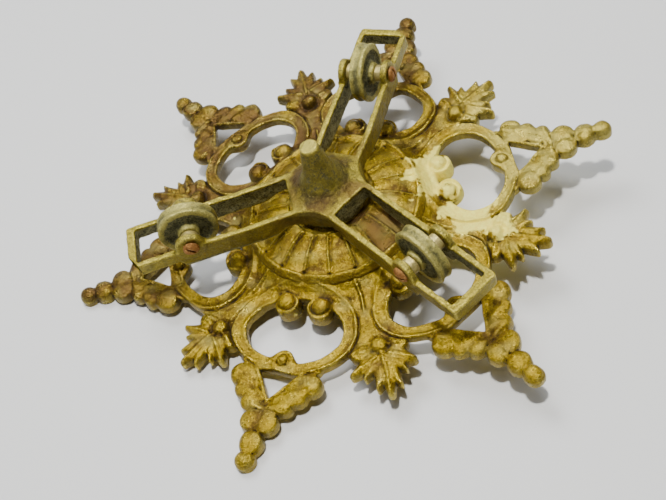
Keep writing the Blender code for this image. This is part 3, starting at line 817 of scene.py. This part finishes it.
def aged_metal(name, base, tarnish, highlight_and_wear_colour, grime_and_shade, metallic, roughness, grain,
               walls=0.0, stain=None, pitted=None, stain_start=0.35):
    """Old metal: tarnish in clouds, painted glints, walls darkened with verdigris and painted shade, grime
    and painted shade in its hollows, rubbed edges with painted highlights, stained places.
    """
    n = Nodes(name)
    edge, hollow = n.attribute("edge"), n.attribute("hollow")
    clouds = n.noise(16, 5, 0.62, 0.5)
    blotch = n.noise(4.0, 5, 0.68, 0.4)
    speck = n.noise(0.9, 4, 0.72)
    fine = n.noise(0.4, 3, 0.6)

    low = n.math("ADD", n.math("MULTIPLY", clouds, 0.55), n.math("MULTIPLY", blotch, 0.45))
    tarnished = n.step(n.math("ADD", low, n.swing(hollow, 0.7)), 0.42, 0.60)
    colour = n.mix(tarnished, base, tarnish)
    colour = n.mix(n.step(speck, 0.48, 0.66, 0.0, 0.75), colour, tarnish)
    # Painted glints: small specks of the bright colour stand in for small highlights.
    colour = n.mix(n.step(speck, 0.44, 0.33, 0.0, 0.50), colour, highlight_and_wear_colour)
    # Brown tarnish, and painted shade on the star's far side and under its third arm.
    colour = n.mix(n.math("MULTIPLY", n.attribute("dull_and_shade"), 0.88), colour, DULL_AND_SHADE)
    colour = n.mix(n.math("MULTIPLY", n.attribute("pale"), 0.55), colour, PALE)
    # Faces turned sideways get verdigris and painted shade, darker than the tops.
    if walls:
        facing = n.math("ABSOLUTE", n.upward())
        side = n.math("MULTIPLY", n.step(facing, 0.30, 0.72, 1.0, 0.0), walls)
        side = n.math("MULTIPLY", side, n.step(blotch, 0.35, 0.60, 1.0, 0.45))
        colour = n.mix(side, colour, VERDIGRIS_AND_SHADE)
    # Grime and painted shade: near-black in the hollows and creases.
    grime_and_shade_share = n.step(n.math("ADD", hollow, n.swing(blotch, 0.55)), 0.54, 0.72)
    crevice = n.step(n.math("ADD", edge, n.swing(blotch, 0.25)), 0.56, 0.70)
    grime_and_shade_share = n.math("MAXIMUM", grime_and_shade_share, crevice)
    colour = n.mix(n.math("MULTIPLY", grime_and_shade_share, 0.88), colour, grime_and_shade)
    if stain:
        patchy = n.math("ADD", n.math("SUBTRACT", speck, 0.5), n.swing(blotch, 1.2))
        marked = n.step(n.math("ADD", n.attribute("stain"), patchy), stain_start, stain_start + 0.35)
        uneven = n.math("ADD", n.math("MULTIPLY", speck, 0.6), n.math("MULTIPLY", blotch, 0.4))
        colour = n.mix(marked, colour, n.mix(n.step(uneven, 0.44, 0.56, 0.0, 0.9), stain, pitted))
    # Sharp edges get the bright colour: rubbed bare brass and painted highlights.
    worn = n.step(n.math("ADD", edge, n.swing(blotch, 0.30)), 0.45, 0.32)
    rubbed_and_highlight = n.math("MULTIPLY", worn, n.step(speck, 0.34, 0.56, 0.80, 0.10))
    colour = n.mix(rubbed_and_highlight, colour, highlight_and_wear_colour)
    n.link(colour, n.shader.inputs["Base Color"])

    cover = n.math("MAXIMUM", grime_and_shade_share, n.math("MULTIPLY", tarnished, 0.5))
    sheen = n.math("SUBTRACT", 1.0, n.math("MULTIPLY", cover, 0.45))
    rough = n.math("ADD", roughness, n.swing(blotch, 0.40))
    rough = n.math("ADD", rough, n.math("MULTIPLY", tarnished, 0.06))
    if stain:
        sheen = n.math("MULTIPLY", sheen, n.step(marked, 0.0, 1.0, 1.0, 0.35))
        rough = n.math("ADD", rough, n.math("MULTIPLY", marked, 0.15))
    rough = n.math("SUBTRACT", rough, n.math("MULTIPLY", rubbed_and_highlight, 0.10))
    n.link(n.math("MULTIPLY", sheen, metallic), n.shader.inputs["Metallic"])
    n.link(rough, n.shader.inputs["Roughness"])
    n.shader.inputs["Specular IOR Level"].default_value = SPECULAR_LEVEL

    pits = n.math("ADD", n.math("MULTIPLY", speck, 0.7), n.math("MULTIPLY", fine, 0.3))
    lumps = n.math("MULTIPLY", n.noise(2.6, 3, 0.55), n.step(n.attribute("smooth"), 0.0, 1.0, 1.0, 0.35))
    normal = n.bump(pits, 0.95, grain * 1.25)
    normal = n.bump(lumps, 0.8, grain * 2.2, normal)
    n.link(normal, n.shader.inputs["Normal"])
    return n.material


star_material = aged_metal(
    "star_brass", base=(0.42, 0.285, 0.014), tarnish=(0.110, 0.062, 0.008), highlight_and_wear_colour=(0.95, 0.75, 0.11),
    grime_and_shade=(0.014, 0.008, 0.004), metallic=0.92, roughness=0.31, grain=0.48, walls=0.75,
    stain=(1.0, 0.91, 0.19), pitted=(0.93, 0.77, 0.14))
frame_material = aged_metal(
    "frame_brass", base=(0.42, 0.335, 0.042), tarnish=(0.110, 0.092, 0.026), highlight_and_wear_colour=(0.92, 0.77, 0.15),
    grime_and_shade=(0.020, 0.018, 0.010), metallic=0.82, roughness=0.38, grain=0.48, walls=0.70,
    stain=(0.34, 0.33, 0.17), pitted=(0.070, 0.064, 0.030))
pulley_material = aged_metal(
    "pulley_brass", base=(0.50, 0.44, 0.12), tarnish=(0.17, 0.16, 0.06), highlight_and_wear_colour=(0.90, 0.81, 0.27),
    grime_and_shade=(0.030, 0.030, 0.018), metallic=0.62, roughness=0.44, grain=0.42,
    stain=(0.26, 0.25, 0.12), pitted=(0.07, 0.07, 0.035), stain_start=0.50)
bush_material = aged_metal(
    "bush_brass", base=(0.66, 0.55, 0.20), tarnish=(0.42, 0.34, 0.12), highlight_and_wear_colour=(0.92, 0.82, 0.42),
    grime_and_shade=(0.10, 0.075, 0.03), metallic=0.62, roughness=0.42, grain=0.22)
screw_material = aged_metal(
    "screw_copper", base=(0.38, 0.17, 0.045), tarnish=(0.15, 0.060, 0.018), highlight_and_wear_colour=(0.78, 0.46, 0.18),
    grime_and_shade=(0.03, 0.011, 0.005), metallic=0.60, roughness=0.50, grain=0.35)
iron_material = aged_metal(
    "bolt_iron", base=(0.16, 0.12, 0.09), tarnish=(0.20, 0.09, 0.04), highlight_and_wear_colour=(0.34, 0.30, 0.26),
    grime_and_shade=(0.03, 0.02, 0.014), metallic=0.65, roughness=0.60, grain=0.25)


# ---------------------------------------------------------------- build

TO_TIP_PLANE = Matrix.Translation((0, 0, TIP_PLANE * MM))


def axle_place(angle, side):
    """Local Z runs along the axle towards the screw's head."""
    turn = math.radians(angle + 90 * side)
    across = Vector((math.cos(turn), math.sin(turn), 0))
    up = Vector((0, 0, 1))
    out = math.radians(angle)
    centre = Vector((AXLE_DISTANCE * math.cos(out), AXLE_DISTANCE * math.sin(out),
                     AXLE_HEIGHT + TIP_PLANE)) * MM
    return Matrix.Translation(centre) @ Matrix((up.cross(across), up, across)).transposed().to_4x4()


def corroded(x, y, z):
    """A pale patch around one opening of the star."""
    def near(angle, radius, reach):
        turn = math.radians(angle)
        return np.clip(1 - np.hypot(x - radius * math.cos(turn), y - radius * math.sin(turn)) / reach, 0, 1)
    patch = np.maximum(near(-28, 58, 26), np.maximum(near(-52, 72, 22), near(-58, 88, 14)))
    return ramp(1.35 * patch + 0.20 * waves(81, 9, x, y, z) + 0.10 * waves(85, 3, x, y, z), 0.10, 0.9)


def sunned(angle, x, y):
    """How much a place faces the given direction from the centre, 0 to 1."""
    turn = math.radians(angle)
    return np.clip((x * math.cos(turn) + y * math.sin(turn)) / np.maximum(np.hypot(x, y), 1), 0, 1)


def dulled_and_shaded(x, y, z):
    """Brown tarnish and painted shade round the side away from the lamp and on the dome under the third arm.
    """
    side = 0.95 * ramp(sunned(88, x, y), 0.05, 0.62) * ramp(np.hypot(x, y), 45, 65)
    under = ramp(sunned(-83, x, y), 0.90, 0.985) * ramp(np.hypot(x, y), 49, 44)
    return np.clip(side + under + 0.3 * waves(82, 16, x, y, z), 0, 1)


def paled(x, y, z):
    """Paler, yellower metal on the point beyond the corroded patch."""
    side = ramp(sunned(-28, x, y), 0.80, 0.97) * ramp(np.hypot(x, y), 70, 95)
    return np.clip(side + 0.3 * waves(83, 12, x, y, z), 0, 1)


def panelled(x, y, z):
    """The dome's panels are smoother than the rest of the casting."""
    return ramp(np.hypot(x, y), 43.5, 42.0)


def build_star():
    marks = (("stain", corroded), ("dull_and_shade", dulled_and_shaded), ("pale", paled))
    star = cast_mesh("star_points", star_field, (-134, -153, -9.0), (134, 153, 13.0), STAR_STEP,
                     place=TO_TIP_PLANE, marks=marks)
    dome = cast_mesh("star_dome", dome_field, (-50, -50, -2.5), (50, 50, 18.0), DOME_STEP,
                     place=TO_TIP_PLANE, marks=marks + (("smooth", panelled),))
    for mesh in (star, dome):
        mesh.materials.append(star_material)
        new_piece(mesh.name, mesh, "rosette", ["star_rosette"])


def build_frame():
    marks = (("stain", slot_wall), ("pale", polished), ("dull_and_shade", browned))
    mesh = cast_mesh("frame_casting", frame_field, (-98, -113, 14.4), (98, 66, 60.6), FRAME_STEP,
                     place=TO_TIP_PLANE, marks=marks)
    mesh.materials.append(frame_material)
    new_piece(mesh.name, mesh, "rosette", ["pulley_frame"])


def build_pulleys():
    for number, (angle, side) in enumerate(zip(ARM_ANGLES, SCREW_SIDES), start=1):
        place = axle_place(angle, side)
        wheel = cast_mesh(f"chain_wheel_{number}", wheel_field(number), (-17, -17, -7), (17, 17, 7),
                          TURNED_STEP, place=place, fine=0.9, broad=2.5, marks=(("stain", wheel_face),))
        wheel.materials.append(pulley_material)
        new_piece(wheel.name, wheel, f"wheel_{number}", [f"pulley_{number}"])
        bush = cast_mesh(f"spacer_{number}", bush_field(number), (-5.2, -5.2, 5.8), (5.2, 5.2, 10.8),
                         SMALL_STEP, fine=0.6, broad=1.5)
        for end, turn in (("a", 0), ("b", 180)):
            copy = bush.copy()
            copy.transform(place @ Matrix.Rotation(math.radians(turn), 4, "X"))
            copy.name = f"spacer_{number}{end}"
            copy.materials.append(bush_material)
            new_piece(copy.name, copy, "rosette", [f"bush_{number}{end}"])
        screw = cast_mesh(f"axle_screw_{number}", screw_field(number), (-4.9, -4.9, -15.6), (4.9, 4.9, 17.6),
                          SMALL_STEP, place=place, fine=0.5, broad=1.4)
        screw.materials.append(screw_material)
        new_piece(screw.name, screw, "rosette", [f"pulley_screw_{number}"])


def build_eye():
    for name, field, low, high, node in (
            ("hanging_eye", eye_field, (-11.8, -4.4, -17.8), (11.8, 4.4, 44.2), "eye_bolt"),
            ("eye_fixing_nut", nut_field, (-8, -8, 5), (8, 8, 10.2), "eye_nut"),
            ("eye_fixing_washer", washer_field, (-10, -10, 9.4), (10, 10, 11.7), "eye_washer")):
        mesh = cast_mesh(name, field, low, high, EYE_STEP, place=TO_TIP_PLANE, fine=0.9, broad=2.5)
        mesh.materials.append(iron_material)
        new_piece(name, mesh, "rosette", [node])


# ---------------------------------------------------------------- stage, light and camera

# The camera was worked out from the six tips of the star in the photo.
AIM = Vector((-0.0170, -0.0137, 0.01725))
CAMERA_DISTANCE = 0.5993
CAMERA_AZIMUTH = math.radians(-111.243)
CAMERA_ELEVATION = math.radians(51.31)
CAMERA_ROLL = math.radians(25.295)
LENS = 61.5
TABLE_TILT = math.radians(6.1)      # the rosette leans on its eye and on two of its points


def add_stage():
    bpy.ops.mesh.primitive_plane_add(size=6.0, location=(0, 0, 0), rotation=(0, TABLE_TILT, 0))
    floor = bpy.context.active_object
    floor.name = "floor"
    material = bpy.data.materials.new("table")
    material.use_nodes = True
    shader = material.node_tree.nodes["Principled BSDF"]
    shader.inputs["Base Color"].default_value = (0.80, 0.80, 0.79, 1)
    shader.inputs["Roughness"].default_value = 0.55
    floor.data.materials.append(material)


# Name, place, width in metres, power in watts and colour: a small lamp, and soft panels above and round it.
LIGHTS = (
    ("lamp", (0.10, -0.17, 1.75), 0.14, 30, (1.0, 0.985, 0.95)),
    ("overhead", (0.0, -0.05, 1.60), 0.6, 3, (1.0, 0.99, 0.97)),
    ("far_side", (0.34, 0.90, 1.35), 0.85, 17, (0.94, 0.97, 1.0)),
    ("right_side", (1.00, 0.15, 1.30), 1.0, 3.5, (0.96, 0.98, 1.0)),
    ("left_side", (-0.75, 0.75, 1.30), 1.0, 3.5, (0.94, 0.97, 1.0)))
LIGHT_TARGET = Vector((0, 0, 0.02))


def add_light(name, location, size, power, colour):
    light = bpy.data.lights.new(name, "AREA")
    light.shape = "DISK"
    light.size = size
    light.energy = power
    light.color = colour
    item = bpy.data.objects.new(name, light)
    bpy.context.scene.collection.objects.link(item)
    item.location = location
    item.rotation_euler = (LIGHT_TARGET - Vector(location)).to_track_quat("-Z", "Y").to_euler()


def add_world():
    world = bpy.data.worlds.new("studio")
    world.use_nodes = True
    world.node_tree.nodes["Background"].inputs["Color"].default_value = (0.80, 0.85, 0.92, 1)
    world.node_tree.nodes["Background"].inputs["Strength"].default_value = 0.05
    bpy.context.scene.world = world


def add_camera():
    back = Vector((math.cos(CAMERA_AZIMUTH) * math.cos(CAMERA_ELEVATION),
                   math.sin(CAMERA_AZIMUTH) * math.cos(CAMERA_ELEVATION), math.sin(CAMERA_ELEVATION)))
    level = Vector((0, 0, 1)).cross(back).normalized()
    upright = back.cross(level)
    right = level * math.cos(CAMERA_ROLL) - upright * math.sin(CAMERA_ROLL)
    up = upright * math.cos(CAMERA_ROLL) + level * math.sin(CAMERA_ROLL)
    data = bpy.data.cameras.new("camera")
    data.lens = LENS
    camera = bpy.data.objects.new("camera", data)
    bpy.context.scene.collection.objects.link(camera)
    camera.matrix_world = (Matrix.Translation(AIM + back * CAMERA_DISTANCE)
                           @ Matrix((right, up, back)).transposed().to_4x4())
    bpy.context.scene.camera = camera


build_star()
build_frame()
build_pulleys()
build_eye()
add_stage()
add_world()
for light in LIGHTS:
    add_light(*light)
add_camera()
